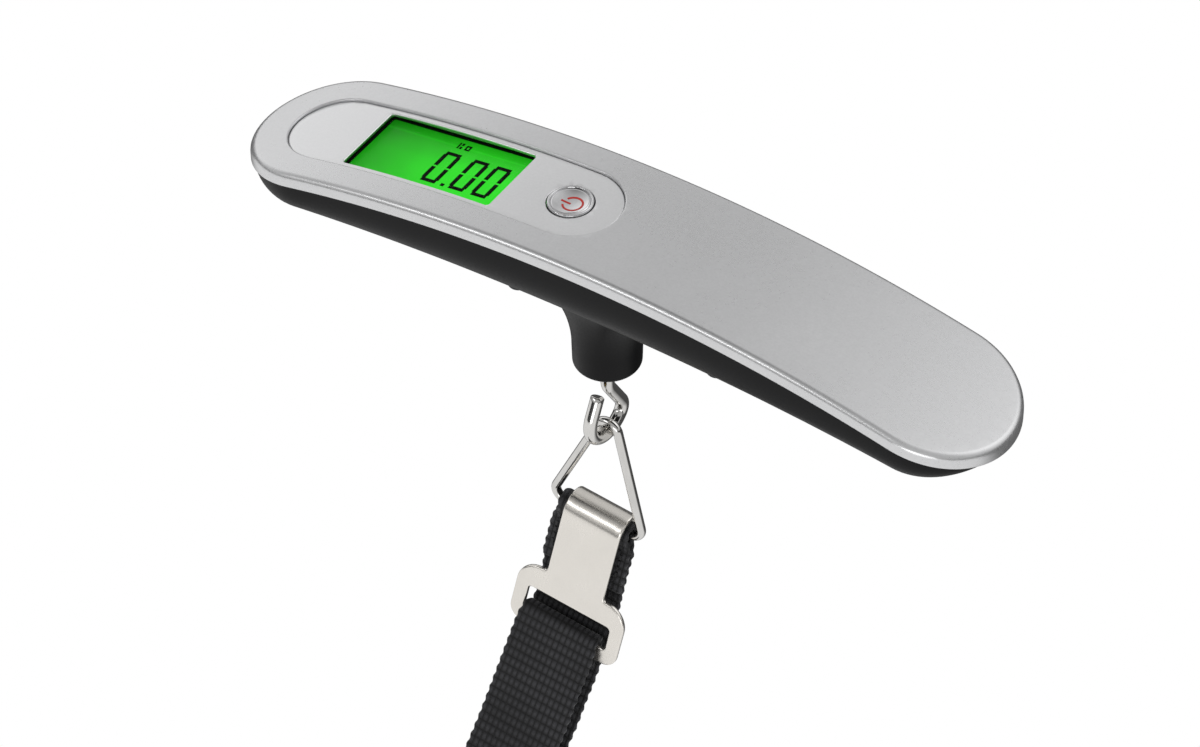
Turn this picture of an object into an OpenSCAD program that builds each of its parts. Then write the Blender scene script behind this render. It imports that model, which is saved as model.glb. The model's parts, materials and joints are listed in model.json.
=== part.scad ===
// Digital luggage scale: an arched handle with a display, a load cell inside it, and a strap that
// hangs from a bent wire hook. Millimetres, +Z up. The origin is the crown of the top cover.
// +X runs along the body to the plain end, -X to the display end, -Y is the front.

/* [Body] */
// Length of the body
body_len = 170; // [150:1:190]
// Width of the body
body_w = 34; // [30:0.5:40]
// Radius of the arched top
arch_r = 307; // [250:1:400]
// Height of the silver side wall
skirt_h = 3; // [2:0.1:4]
// Thickness of the body at its middle
body_t = 17; // [15:0.5:20]
// Radius of the arched underside
belly_r = 800; // [600:10:1200]
// Wall of the two shells
wall = 1.8; // [1.5:0.1:2.2]

/* [Display] */
// Length of the sunk display panel
panel_len = 75.2; // [70:0.2:80]
// Width of the sunk display panel
panel_w = 19.9; // [18:0.1:21]
// Depth of the panel below the cover
panel_sink = 0.55; // [0.3:0.05:0.8]
// Length of the display opening
window_len = 34.2; // [30:0.2:36]
// Width of the display opening
window_w = 17.2; // [15:0.1:18]
// Middle of the display opening along X
window_x = -43; // [-46:0.5:-40]
// Middle of the power button along X
button_x = -12.5; // [-14:0.1:-11]
// Diameter of the button's opening
button_hole_d = 9.6; // [9:0.1:10]
// Travel of the power button
button_travel = 0.4; // [0.2:0.1:0.5]

/* [Neck and hook] */
// Middle of the neck along X
neck_x = -4.3; // [-6:0.1:0]
// Diameter of the neck
neck_d = 13.8; // [12:0.1:16]
// Level of the neck's lower end
neck_bottom = -38.3; // [-42:0.1:-34]
// Diameter of the hook's wire
hook_wire = 2.8; // [2.5:0.1:4]

/* [Ring, clip and strap] */
// Diameter of the ring's wire
ring_wire = 2; // [1.8:0.05:2.5]
// Distance from the hook's seat to the ring's bar
ring_drop = 25.8; // [22:0.5:30]
// Half of the angle between the ring's legs
ring_half = 18.5; // [15:0.5:22]
// Lean of the hanging parts to the display end
hang_tilt = 6; // [0:0.5:12]
// Lean of the clip and the strap to the front
clip_lean = 14; // [0:1:20]
// Width of the clip's neck
clip_neck_w = 13.6; // [10:0.2:14]
// Width of the clip's slotted end
clip_w = 26; // [24:0.2:28]
// Width of the webbing
strap_w = 19.4; // [18:0.1:20]
// Thickness of the webbing
strap_t = 1.2; // [1:0.1:2]
// Radius of the strap's round lower loop
loop_r = 18; // [15:0.5:30]
// Lean of the strap's front run where it leaves the clip
front_lean = 28; // [20:1:40]
// Further lean that the strap gains on its way down
strap_curve = 18; // [0:1:25]

/* [Battery door] */
// Middle of the door along X
door_x = 45; // [43:0.5:47]
// Length of the door
door_len = 28; // [26:0.5:29]
// Width of the door
door_w = 23; // [22:0.5:24]

/* [Hidden] */
$fn = 64;
arch_fn = 256;

cover_t = 2;
pocket_depth = 1.25;
panel_mid = -39.6;
pocket_gap = 0.1;
pane_t = 0.6;
housing_inset = 0.7;
belly_z = -body_t;
corner_r = 8;
end_r = 31.6;
end_x = body_len / 2 - body_w / 2 - 0.7;
belly_span = 14;
lap = 0.02;
core_len = 0.3;
core_share = 0.97;

lcd_top = -2.75;
board_top = -5.6;
board_t = 1;

beam_x0 = -9.3;
beam_x1 = 27;
beam_w = 12;
beam_top = -8.2;
beam_h = 6;
bush_h = 6.3;
bush_d = 8;
shank_top = -4.7;
run_gap = 0.05;

// The hook's bends: first bend, slanted run, then three bends round the seat.
hook_straight_end = -44;
h1 = 32; r1 = 4; s1 = 8; r2 = 2.6; h2 = -50; r3 = 6.6; h3 = -150; r4 = 5; h4 = -208; tip_run = 4.7;
seat_y = r1 * (1 - cos(h1)) + s1 * sin(h1) - r2 * cos(h1) + r2 * cos(h2) - r3 * cos(h2);
seat_z = hook_straight_end - r1 * sin(h1) - s1 * cos(h1) - r2 * sin(h1) + r2 * sin(h2)
  - r3 * sin(h2) - r3;

apex_r = (hook_wire + ring_wire) / 2 + run_gap;
ring_corner_r = 2.4;
ring_virtual_half = apex_r / cos(ring_half) + ring_drop * tan(ring_half);
ring_bend = 90 + ring_half;
ring_cut = ring_corner_r * tan(ring_bend / 2);
ring_half_base = ring_virtual_half - ring_cut;
ring_leg = (ring_drop + apex_r * sin(ring_half)) / cos(ring_half) - ring_cut;

clip_t = 1.1;
clip_shift = 0.7;
fold_r = 2.9;
slot_top = -21.2;
slot_h = 5.4;
slot_w = 19.8;
shoulder_h = 5.5;
clip_bar_h = 3.6;
clip_mid_y = -(fold_r + clip_t / 2);
clip_bar_top = slot_top - slot_h;

wrap_r = ring_wire / 2 + 0.325 + strap_t / 2;
wrap_w = 17.2;
slot_strap_w = 18.2;
layer_gap = 0.05;
fold_in = 25;
tail_len = 10.5;
bar_wrap_r = clip_t / 2 + 0.3 + strap_t / 2;
rel_lean = front_lean - clip_lean;
layer_y = (strap_t + layer_gap) / 2;
pinch = (wrap_r * cos(fold_in) - wrap_r * (1 - cos(fold_in)) - layer_y) / sin(fold_in);
join_z = -(2 * wrap_r * sin(fold_in) + pinch * cos(fold_in));
reach_y = clip_mid_y - bar_wrap_r * cos(rel_lean);
reach_z = clip_bar_top + bar_wrap_r * sin(rel_lean);

// The strap's runs: the back run leaves the sewn layers to the rear, follows the front run down,
// and then opens into the loop. Leans are measured from the clip, to the front.
rear_lean = -8;
low_lean = rel_lean + strap_curve;
open_lean = -4;
sewn_run = 11;
rear_r = 12;
rear_run = 5;
near_r = 10;
near_run = 17;
curve_r = 100;
between = 6.5;
follow_run = 5;
open_r = 25;
front_top = 20;
known_y = layer_y + go(sewn_run, 0)[0] + turn_back(rear_r, 0, rear_lean)[0]
  + go(rear_run, rear_lean)[0] + turn_front(near_r, rear_lean, rel_lean)[0] + go(near_run, rel_lean)[0]
  + turn_front(curve_r - between, rel_lean, low_lean)[0] + go(follow_run, low_lean)[0]
  + turn_back(open_r, low_lean, open_lean)[0] + turn_front(loop_r, open_lean, 180 + low_lean)[0]
  + turn_back(curve_r, 180 + low_lean, 180 + rel_lean)[0] + go(front_top, 180 + rel_lean)[0];
known_z = join_z + go(sewn_run, 0)[1] + turn_back(rear_r, 0, rear_lean)[1]
  + go(rear_run, rear_lean)[1] + turn_front(near_r, rear_lean, rel_lean)[1] + go(near_run, rel_lean)[1]
  + turn_front(curve_r - between, rel_lean, low_lean)[1] + go(follow_run, low_lean)[1]
  + turn_back(open_r, low_lean, open_lean)[1] + turn_front(loop_r, open_lean, 180 + low_lean)[1]
  + turn_back(curve_r, 180 + low_lean, 180 + rel_lean)[1] + go(front_top, 180 + rel_lean)[1];
short_y = reach_y - known_y;
short_z = reach_z - known_z;
back_low = (short_y * cos(low_lean) - short_z * sin(low_lean)) / sin(low_lean - open_lean);
front_low = (short_y * cos(open_lean) - short_z * sin(open_lean)) / sin(low_lean - open_lean);
bar_pass = clip_bar_h + 0.1;
tuck = 50;
tuck_run = (bar_wrap_r * cos(rel_lean) + bar_pass * sin(rel_lean)
  + bar_wrap_r * (cos(tuck - rel_lean) - cos(rel_lean)) - bar_wrap_r * (1 - cos(tuck - rel_lean))
  + bar_wrap_r - 2 * layer_y) / sin(tuck - rel_lean);

cell_d = 20;
cell_t = 3.2;
well_top = 7.6;
tab_y = 7.65;
screw_spots = [[-72, 0], [72, 0], [-17, 11.6], [-17, -11.6], [28, 11.6], [28, -11.6]];

function belly_at(x) = belly_z - x * x / (2 * belly_r);
function arch_at(x) = sqrt(arch_r * arch_r - x * x) - arch_r;

// Steps in y and z along a straight run, and round bends to the front and to the rear.
function go(run, lean) = [-run * sin(lean), -run * cos(lean)];
function turn_front(r, a, b) = [r * (cos(b) - cos(a)), r * (sin(a) - sin(b))];
function turn_back(r, a, b) = [r * (cos(a) - cos(b)), r * (sin(b) - sin(a))];

// Places children on the arched top at x, with z along the surface's normal.
module on_arch(x) {
  translate([0, 0, -arch_r]) rotate([0, asin(x / arch_r), 0]) translate([0, 0, arch_r]) children();
}

// Places children on the arched underside at x, with z into the body.
module on_belly(x) {
  translate([0, 0, belly_z - belly_r]) rotate([0, asin(x / belly_r), 0])
    translate([0, 0, belly_r]) children();
}

// A flat bar with round ends, standing on z = 0.
module stadium(l, w, h) {
  linear_extrude(height = h) union() {
    square([l - w, w], center = true);
    for (s = [-1, 1]) translate([s * (l - w) / 2, 0]) circle(d = w);
  }
}

// Plan of the body, inset by g, from z = -60 to 10.
module body_plan(g) {
  translate([0, 0, -60]) stadium(body_len - 2 * g, body_w - 2 * g, 70);
}

// The solid cylinder whose top is the arch lowered by d.
module under_arch(d) {
  translate([0, 0, -arch_r]) rotate([90, 0, 0])
    cylinder(r = arch_r - d, h = 80, center = true, $fn = arch_fn);
}

// The layer of the arch between depths a and b, cut by the children's outline.
module arch_layer(a, b) {
  difference() {
    intersection() {
      children();
      under_arch(a);
    }
    under_arch(b);
  }
}

module rounded_plate(l, w, r) {
  union() {
    square([l - 2 * r, w], center = true);
    square([l, w - 2 * r], center = true);
    for (x = [-1, 1], y = [-1, 1]) translate([x * (l / 2 - r), y * (w / 2 - r)]) circle(r = r);
  }
}

// Section of the underside swept along its arch, grown inward by g.
module belly_sweep(g) {
  w = body_w / 2 - housing_inset - g;
  r = corner_r - g;
  translate([0, 0, belly_z - belly_r]) rotate([90, 0, 0]) rotate([0, 0, 90 - belly_span / 2])
    rotate_extrude(angle = belly_span, $fn = arch_fn) translate([belly_r + g, 0]) union() {
      translate([r, -w]) square([30, 2 * w]);
      translate([0, -w + r]) square([30, 2 * (w - r)]);
      for (s = [-1, 1]) translate([r, s * (w - r)]) circle(r = r);
    }
}

// Side view of the underside, with its rising ends, grown inward by g.
module belly_side(g) {
  translate([0, 40, 0]) rotate([90, 0, 0]) linear_extrude(height = 80) union() {
    translate([-end_x, -60]) square([2 * end_x, 70]);
    for (s = [-1, 1]) translate([s * end_x, belly_at(end_x) + end_r]) circle(r = end_r - g, $fn = 128);
  }
}

module housing_form(g) {
  intersection() {
    body_plan(housing_inset + g);
    belly_sweep(g);
    belly_side(g);
  }
}

// The neck under the body with its wide fillet.
module neck_form() {
  flare = 12;
  fillet_z = -29;
  intersection() {
    translate([neck_x, 0, 0]) rotate_extrude() difference() {
      translate([0, neck_bottom]) square([11, belly_z + 2 - neck_bottom]);
      translate([neck_d / 2, neck_bottom - 1]) square([20, fillet_z - neck_bottom + 1]);
      translate([neck_d / 2 + flare, fillet_z]) circle(r = flare);
    }
    body_plan(housing_inset + 0.4);
  }
}

// One straight wire from p to q.
module wire(p, q, d) {
  v = q - p;
  translate(p) rotate([0, acos(v[2] / norm(v)), atan2(v[1], v[0])]) cylinder(d = d, h = norm(v));
}

// A bend in the YZ plane that starts down -Z and turns to +Y for a positive angle.
module bend_place(angle, r) {
  if (angle > 0)
    translate([0, r, 0]) rotate([-90, 0, 0]) rotate([0, 90, 0]) children();
  else
    mirror([0, 1, 0]) translate([0, r, 0]) rotate([-90, 0, 0]) rotate([0, 90, 0]) children();
}

module after_bend(angle, r) {
  s = angle > 0 ? 1 : -1;
  translate([0, s * r, 0]) rotate([angle, 0, 0]) translate([0, -s * r, 0]) children();
}

// Round wire bent by steps of [straight run, bend angle, bend radius]. A short core joins the runs.
module bent_wire(steps, d, closed = false, i = 0) {
  if (i < len(steps)) {
    s = steps[i];
    if (s[0] > 2 * lap) translate([0, 0, -s[0] + lap]) cylinder(d = d, h = s[0] - 2 * lap);
    translate([0, 0, -s[0]]) {
      if (closed || i < len(steps) - 1)
        translate([0, 0, -core_len / 2]) cylinder(d = d * core_share, h = core_len);
      if (s[1] != 0) {
        bend_place(s[1], s[2]) rotate_extrude(angle = abs(s[1])) translate([s[2], 0]) circle(d = d);
        after_bend(s[1], s[2]) translate([0, 0, -core_len / 2])
          cylinder(d = d * core_share, h = core_len);
        after_bend(s[1], s[2]) bent_wire(steps, d, closed, i + 1);
      }
    }
  }
}

// A thinner piece of webbing across the joint between two runs.
module web_core(w, t) {
  translate([-w * 0.42, -t * core_share / 2, -core_len / 2]) cube([w * 0.84, t * core_share, core_len]);
}

// Flat webbing bent by steps of [straight run, bend angle, bend radius, run width, bend width].
module bent_web(steps, t, i = 0) {
  if (i < len(steps)) {
    s = steps[i];
    translate([-s[3] / 2, -t / 2, -s[0] + lap]) cube([s[3], t, s[0] - 2 * lap]);
    translate([0, 0, -s[0]]) {
      if (i < len(steps) - 1) web_core(min(s[3], s[4]), t);
      if (s[1] != 0) {
        bend_place(s[1], s[2]) rotate_extrude(angle = abs(s[1]))
          translate([s[2] - t / 2, -s[4] / 2]) square([t, s[4]]);
        after_bend(s[1], s[2]) web_core(s[4], t);
        after_bend(s[1], s[2]) bent_web(steps, t, i + 1);
      } else bent_web(steps, t, i + 1);
    }
  }
}

// The hanging frame: its origin is the hook's seat.
module at_seat() {
  translate([neck_x, seat_y, seat_z]) rotate([0, hang_tilt, 0]) children();
}

// The frame of the ring's bar.
module at_bar() {
  at_seat() translate([0, 0, -ring_drop]) children();
}

module at_clip() {
  at_bar() rotate([-clip_lean, 0, 0]) children();
}

module window_plan(grow, h) {
  linear_extrude(height = h, center = true)
    rounded_plate(window_len + 2 * grow, window_w + 2 * grow, 1.2 + grow);
}

module panel_plan(grow) {
  translate([panel_mid, 0, -20]) stadium(panel_len + 2 * grow, panel_w + 2 * grow, 40);
}

// Screw seats: from the recess in the underside up into the cover's post.
function seat_level(p) = belly_at(p[0]) + (p[1] == 0 ? 3.2 : 3.6);
function post_split(p) = arch_at(p[0]) - (p[1] == 0 ? 5.2 : 6.5);

module top_cover() {
  color([0.78, 0.78, 0.79]) union() {
    difference() {
      intersection() {
        body_plan(0);
        difference() {
          under_arch(0);
          under_arch(skirt_h);
        }
      }
      intersection() {
        body_plan(wall);
        under_arch(cover_t);
      }
      intersection() {
        panel_plan(pocket_gap);
        difference() {
          under_arch(-1);
          under_arch(pocket_depth);
        }
      }
      on_arch(window_x) window_plan(1.1, 10);
      on_arch(button_x) cylinder(d = button_hole_d + 2, h = 10, center = true);
    }
    for (p = screw_spots) intersection() {
      difference() {
        translate([p[0], p[1], post_split(p)]) cylinder(d = 4.6, h = -post_split(p));
        translate([p[0], p[1], -30]) cylinder(d = 2.2, h = 30 + arch_at(p[0]) - 3.2);
      }
      under_arch(cover_t - 0.2);
    }
    for (x = [-22.6, 23], y = [-7.2, 7.2]) intersection() {
      on_arch(window_x) difference() {
        translate([x, y, board_top]) cylinder(d = 3.2, h = -board_top);
        translate([x, y, board_top - 1]) cylinder(d = 1.6, h = 3.2);
      }
      under_arch(cover_t - 0.2);
    }
  }
}

module display_panel() {
  color([0.83, 0.83, 0.84]) difference() {
    arch_layer(panel_sink, pocket_depth) panel_plan(0);
    on_arch(window_x) window_plan(0, 10);
    on_arch(button_x) cylinder(d = button_hole_d, h = 10, center = true);
  }
}

module display_window() {
  color([0.9, 0.95, 0.92, 0.3]) arch_layer(pocket_depth, pocket_depth + pane_t)
    on_arch(window_x) window_plan(1, 16);
}

module lcd_glass() {
  color([0.2, 0.85, 0.15]) on_arch(window_x) translate([-18.7, -10, lcd_top - 1.1])
    cube([37.4, 20, 1.1]);
}

// One seven-segment figure with its middle bar unlit.
module figure_zero() {
  w = 3.9;
  h = 9.8;
  t = 0.9;
  gap = 0.25;
  for (y = [-1, 1]) translate([-w / 2 + gap, y * (h / 2 - t / 2) - t / 2]) square([w - 2 * gap, t]);
  for (x = [-1, 1], y = [-1, 1])
    translate([x * (w / 2 - t / 2) - t / 2, y > 0 ? gap : -h / 2 + t + 0.05])
      square([t, h / 2 - t - gap - 0.05]);
}

module lcd_digits() {
  color([0.03, 0.06, 0.03]) on_arch(window_x) translate([0, 0, lcd_top])
    linear_extrude(height = 0.05) {
      for (x = [0.3, 6.9, 12.2]) translate([x, -0.5]) figure_zero();
      translate([3.3, -5.45]) square([0.8, 0.8]);
      translate([-0.6, 6]) square([0.35, 1.8]);
      translate([0, 6]) square([0.5, 0.7]);
      translate([0, 7.1]) square([0.5, 0.7]);
      translate([1.2, 6]) difference() {
        square([1.2, 1.5]);
        translate([0.35, 0.4]) square([0.5, 0.7]);
      }
    }
}

module backlight() {
  color([0.85, 0.95, 0.8]) on_arch(window_x) translate([-17.8, -8.6, lcd_top - 2.5])
    cube([35.6, 17.2, 1.35]);
}

module lcd_frame() {
  color([0.93, 0.93, 0.9]) on_arch(window_x) difference() {
    translate([-20.2, -11.2, board_top]) cube([40.4, 22.4, lcd_top - board_top]);
    translate([-18.8, -10.1, lcd_top - 1.15]) cube([37.6, 20.2, 2]);
    translate([-17.9, -9.9, board_top - 1]) cube([35.8, 19.8, 4]);
  }
}

module lcd_connector() {
  color([0.2, 0.2, 0.22]) on_arch(window_x) for (s = [-1, 1])
    translate([-16, s * 9.3 - 0.5, board_top]) cube([32, 1, lcd_top - 1.1 - board_top]);
}

module circuit_board() {
  color([0.1, 0.4, 0.2]) on_arch(window_x) difference() {
    union() {
      translate([-24.8, -10.4, board_top - board_t]) cube([45.4, 20.8, board_t]);
      translate([20.6, -8.4, board_top - board_t]) cube([13.2, 16.8, board_t]);
    }
    for (x = [-22.6, 23], y = [-7.2, 7.2])
      translate([x, y, board_top - board_t - 1]) cylinder(d = 1.8, h = board_t + 2);
  }
}

module board_chips() {
  color([0.08, 0.08, 0.09]) on_arch(window_x) {
    translate([-12, -4, board_top - board_t - 1.4]) cube([8, 8, 1.4]);
    translate([2, -2.5, board_top - board_t - 1.4]) cube([5, 5, 1.4]);
    translate([12, 2, board_top - board_t - 0.8]) cube([3, 1.6, 0.8]);
    translate([12, -4, board_top - board_t - 0.8]) cube([3, 1.6, 0.8]);
    translate([-19, -3.4, board_top - board_t - 1.8]) cube([3.2, 6.8, 1.8]);
  }
}

module tact_switch() {
  color([0.7, 0.7, 0.72]) on_arch(window_x) translate([30.3, 0, board_top]) difference() {
    translate([-3, -3, 0]) cube([6, 6, 1.1]);
    translate([0, 0, 0.3]) cylinder(d = 3.9, h = 2);
  }
}

module board_screws() {
  color([0.75, 0.75, 0.77]) on_arch(window_x) for (x = [-22.6, 23], y = [-7.2, 7.2])
    translate([x, y, board_top - board_t]) {
      difference() {
        translate([0, 0, -1]) cylinder(d = 3, h = 1);
        translate([-1.1, -0.2, -1.1]) cube([2.2, 0.4, 0.5]);
      }
      cylinder(d = 1.6, h = 2.8);
    }
}

module power_button() {
  cap_d = button_hole_d - 2 * run_gap;
  rim = -0.25;
  color([0.85, 0.85, 0.87]) on_arch(button_x) difference() {
    union() {
      translate([0, 0, -1.9]) cylinder(d = cap_d, h = 1.9 + rim);
      translate([0, 0, -2]) cylinder(d = cap_d + 1.4, h = 0.65);
    }
    translate([0, 0, rim + 12.35]) sphere(r = 13, $fn = 128);
  }
}

module power_symbol() {
  color([0.75, 0.1, 0.1]) on_arch(button_x) intersection() {
    translate([0.6, -0.2, -1]) union() {
      rotate([0, 0, 208]) rotate_extrude(angle = 304) translate([1.75, 0]) square([0.42, 1]);
      translate([-2.6, -0.21, 0]) cube([2.1, 0.42, 1]);
    }
    translate([0, 0, 12.1]) difference() {
      sphere(r = 13, $fn = 128);
      sphere(r = 12.95, $fn = 128);
    }
  }
}

module switch_plunger() {
  color([0.15, 0.15, 0.16]) on_arch(button_x) translate([0, 0, -3.15]) cylinder(d = 3, h = 1.15);
}

module door_cut(gap) {
  on_belly(door_x) translate([-door_len / 2 - gap, -door_w / 2 - gap, -5])
    cube([door_len + 2 * gap, door_w + 2 * gap, 5 + wall + 0.2]);
}

module lower_housing() {
  color([0.1, 0.1, 0.11]) difference() {
    union() {
      intersection() {
        difference() {
          housing_form(0);
          housing_form(wall);
        }
        under_arch(skirt_h);
      }
      neck_form();
      intersection() {
        housing_form(0.3);
        union() {
          translate([13, -6, -20]) cube([beam_x1 - 13, 12, 20 + beam_top - beam_h]);
          for (p = screw_spots) translate([p[0], p[1], -24]) cylinder(d = 5.6, h = 24 + post_split(p));
          on_belly(door_x) cylinder(d = cell_d + 4, h = well_top);
        }
      }
    }
    translate([neck_x, 0, neck_bottom - 1]) cylinder(d = bush_d, h = 30);
    for (x = [18, 24]) translate([x, 0, belly_at(x) + 0.7]) cylinder(d = 2.4, h = 10);
    for (p = screw_spots) {
      translate([p[0], p[1], -40]) cylinder(d = 4.6, h = 40 + seat_level(p));
      translate([p[0], p[1], -40]) cylinder(d = 2.6, h = 40);
    }
    door_cut(0.15);
    on_belly(door_x) {
      translate([0, 0, -5]) cylinder(d = cell_d + 0.6, h = 5 + well_top - 1);
      for (s = [-1, 1]) translate([-8.1, s * tab_y - 0.3, 5]) cube([2.7, 0.6, 4]);
    }
  }
}

module neck_bush() {
  color([0.72, 0.62, 0.35]) translate([neck_x, 0, neck_bottom]) difference() {
    cylinder(d = bush_d, h = bush_h);
    translate([0, 0, -1]) cylinder(d = hook_wire + 2 * run_gap, h = bush_h + 2);
  }
}

module load_cell() {
  color([0.75, 0.76, 0.78]) difference() {
    translate([beam_x0, -beam_w / 2, beam_top - beam_h]) cube([beam_x1 - beam_x0, beam_w, beam_h]);
    translate([neck_x, 0, -30]) cylinder(d = hook_wire + 0.3, h = 30);
    for (x = [18, 24]) translate([x, 0, -30]) cylinder(d = 2.6, h = 30);
    for (x = [3.5, 10.5]) translate([x, 0, beam_top - beam_h / 2]) rotate([90, 0, 0])
      cylinder(d = 4.2, h = 20, center = true);
    translate([3.5, -10, beam_top - beam_h / 2 - 0.6]) cube([7, 20, 1.2]);
  }
}

module strain_gauges() {
  color([0.85, 0.6, 0.25]) for (x = [3.5, 10.5]) {
    translate([x - 1.8, -1.6, beam_top]) cube([3.6, 3.2, 0.12]);
    translate([x - 1.8, -1.6, beam_top - beam_h - 0.12]) cube([3.6, 3.2, 0.12]);
  }
}

module load_cell_screws() {
  color([0.7, 0.7, 0.72]) for (x = [18, 24]) translate([x, 0, beam_top]) {
    difference() {
      cylinder(d = 4.6, h = 1.7);
      translate([0, 0, 0.9]) cylinder(d = 2.3, h = 2, $fn = 6);
    }
    translate([0, 0, -8.2]) cylinder(d = 2.4, h = 8.2);
  }
}

module load_cell_wires() {
  color([0.8, 0.2, 0.2]) for (y = [-5, -4.3, 4.3, 5])
    translate([8, y, beam_top + 0.3]) rotate([90, 0, 90]) bent_wire([[14, 19, 3], [6.3, 0, 0]], 0.5);
}

module hook() {
  color([0.85, 0.83, 0.8]) translate([neck_x, 0, shank_top])
    bent_wire([[shank_top - hook_straight_end, h1, r1], [s1, h2 - h1, r2],
      [2 * lap, h3 - h2, r3], [2 * lap, h4 - h3, r4], [tip_run, 0, 0]], hook_wire);
}

module hook_washer() {
  color([0.75, 0.75, 0.77]) translate([neck_x, 0, beam_top]) difference() {
    cylinder(d = 7, h = 0.6);
    translate([0, 0, -1]) cylinder(d = hook_wire, h = 3);
  }
}

module hook_nut() {
  color([0.78, 0.76, 0.7]) translate([neck_x, 0, beam_top + 0.6]) difference() {
    cylinder(d = 6.35, h = 2.4, $fn = 6);
    translate([0, 0, -1]) cylinder(d = hook_wire, h = 5);
  }
}

module strap_ring() {
  color([0.85, 0.83, 0.8]) at_bar() rotate([90, 0, -90])
    bent_wire([[ring_half_base, ring_bend, ring_corner_r], [ring_leg, 180 - 2 * ring_half, apex_r],
      [ring_leg, ring_bend, ring_corner_r], [ring_half_base, 0, 0]], ring_wire, true);
}

// The clip's flat plate, drawn flat: neck, round shoulders and the slotted end.
module clip_plate() {
  foot = clip_bar_top - clip_bar_h;
  top = slot_top + shoulder_h;
  difference() {
    union() {
      translate([-clip_neck_w / 2, slot_top]) square([clip_neck_w, -slot_top]);
      translate([-clip_w / 2, foot + 3]) square([clip_w, top - foot - 8]);
      translate([-clip_w / 2 + 5, foot]) square([clip_w - 10, top - foot]);
      for (s = [-1, 1]) {
        translate([s * (clip_w / 2 - 5), top - 5]) circle(r = 5);
        translate([s * (clip_w / 2 - 3), foot + 3]) circle(r = 3);
        translate([s * (clip_w / 2 - 4), foot + 1]) square([2.8, 2], center = true);
      }
    }
    translate([-slot_w / 2, clip_bar_top]) square([slot_w, slot_h]);
  }
}

module strap_clip() {
  back_leg = 2;
  color([0.82, 0.8, 0.76]) at_clip() union() {
    translate([clip_shift, clip_mid_y + clip_t / 2, 0]) rotate([90, 0, 0])
      linear_extrude(height = clip_t) clip_plate();
    translate([clip_shift, 0, 0]) rotate([0, 90, 0]) rotate([0, 0, 90]) rotate_extrude(angle = 180)
      translate([fold_r, -clip_neck_w / 2]) square([clip_t, clip_neck_w]);
    translate([clip_shift - clip_neck_w / 2, fold_r, -back_leg])
      cube([clip_neck_w, clip_t, back_leg]);
  }
}

module strap() {
  color([0.1, 0.1, 0.11]) at_clip()
    translate([0, -layer_y, join_z - tail_len]) rotate([180, 0, 0])
      bent_web([[tail_len, fold_in, wrap_r, strap_w, strap_w],
        [pinch, -180 - 2 * fold_in, wrap_r, wrap_w, wrap_w],
        [pinch, fold_in, wrap_r, wrap_w, strap_w],
        [sewn_run, -rear_lean, rear_r, strap_w, strap_w],
        [rear_run, rear_lean - rel_lean, near_r, strap_w, strap_w],
        [near_run, -strap_curve, curve_r - between, strap_w, strap_w],
        [follow_run, low_lean - open_lean, open_r, strap_w, strap_w],
        [back_low, open_lean - 180 - low_lean, loop_r, strap_w, strap_w],
        [front_low, strap_curve, curve_r, strap_w, strap_w],
        [front_top - 4, 0, 0, strap_w, strap_w],
        [4, -180 + rel_lean, bar_wrap_r, slot_strap_w, slot_strap_w],
        [bar_pass, -tuck, bar_wrap_r, slot_strap_w, slot_strap_w],
        [tuck_run, tuck - rel_lean, bar_wrap_r, slot_strap_w, slot_strap_w],
        [11, 0, 0, slot_strap_w, slot_strap_w]], strap_t);
}

// Rows of short stitches round a box, on the plane y = 0, going down from z = 0.
module stitch_box(w, h, n) {
  for (s = [-1, 1]) {
    for (i = [0 : n - 1]) translate([s * w / 2 - 0.25, -0.25, -h * (i + 0.85) / n])
      cube([0.5, 0.25, 0.7 * h / n]);
    for (i = [0 : n + 2]) translate([-w / 2 + w * (i + 0.15) / (n + 3), -0.25, s > 0 ? 0.3 : -h - 0.8])
      cube([0.7 * w / (n + 3), 0.25, 0.5]);
  }
}

module strap_stitching() {
  color([0.16, 0.16, 0.17]) at_clip() {
    translate([0, -layer_y - strap_t / 2, join_z - 1]) stitch_box(15.5, 6, 4);
    translate([0, layer_y + strap_t / 2, join_z - 1]) rotate([0, 0, 180]) stitch_box(15.5, 6, 4);
  }
}

module coin_cell() {
  color([0.8, 0.8, 0.82]) on_belly(door_x) translate([0, 0, 2.6]) union() {
    cylinder(d = cell_d, h = 2.5);
    cylinder(d = 17.6, h = cell_t);
  }
}

module battery_contact_plus() {
  color([0.78, 0.74, 0.6]) on_belly(door_x) union() {
    intersection() {
      translate([0, 0, 2.8]) difference() {
        cylinder(r = cell_d / 2 + 0.27, h = well_top - 4.1);
        translate([0, 0, -1]) cylinder(r = cell_d / 2 + 0.02, h = 10);
      }
      translate([-9.5, -9.5, 0]) cube([5, 4, 10]);
    }
    translate([-8, -tab_y - 0.15, 5.85]) cube([2.5, 0.3, 2.6]);
  }
}

module battery_contact_minus() {
  color([0.78, 0.74, 0.6]) on_belly(door_x) union() {
    translate([-8, -2, 5.85]) cube([12, 4, 0.3]);
    translate([-7, -1, 5.85]) cube([1.5, tab_y + 1, 0.3]);
    translate([-8, tab_y - 0.15, 5.85]) cube([2.5, 0.3, 2.6]);
  }
}

module battery_leads() {
  color([0.75, 0.1, 0.1]) for (s = [-1, 1])
    wire([37.4, s * tab_y, -9.84], [-14, s * tab_y, -6.15], 0.9);
}

module battery_door() {
  color([0.1, 0.1, 0.11]) difference() {
    intersection() {
      difference() {
        housing_form(0);
        housing_form(wall);
      }
      door_cut(0);
    }
    on_belly(door_x) translate([door_len / 2 - 5, 0, -2.2]) rotate([90, 0, 0])
      cylinder(d = 5.6, h = 9, center = true);
  }
}

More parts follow.
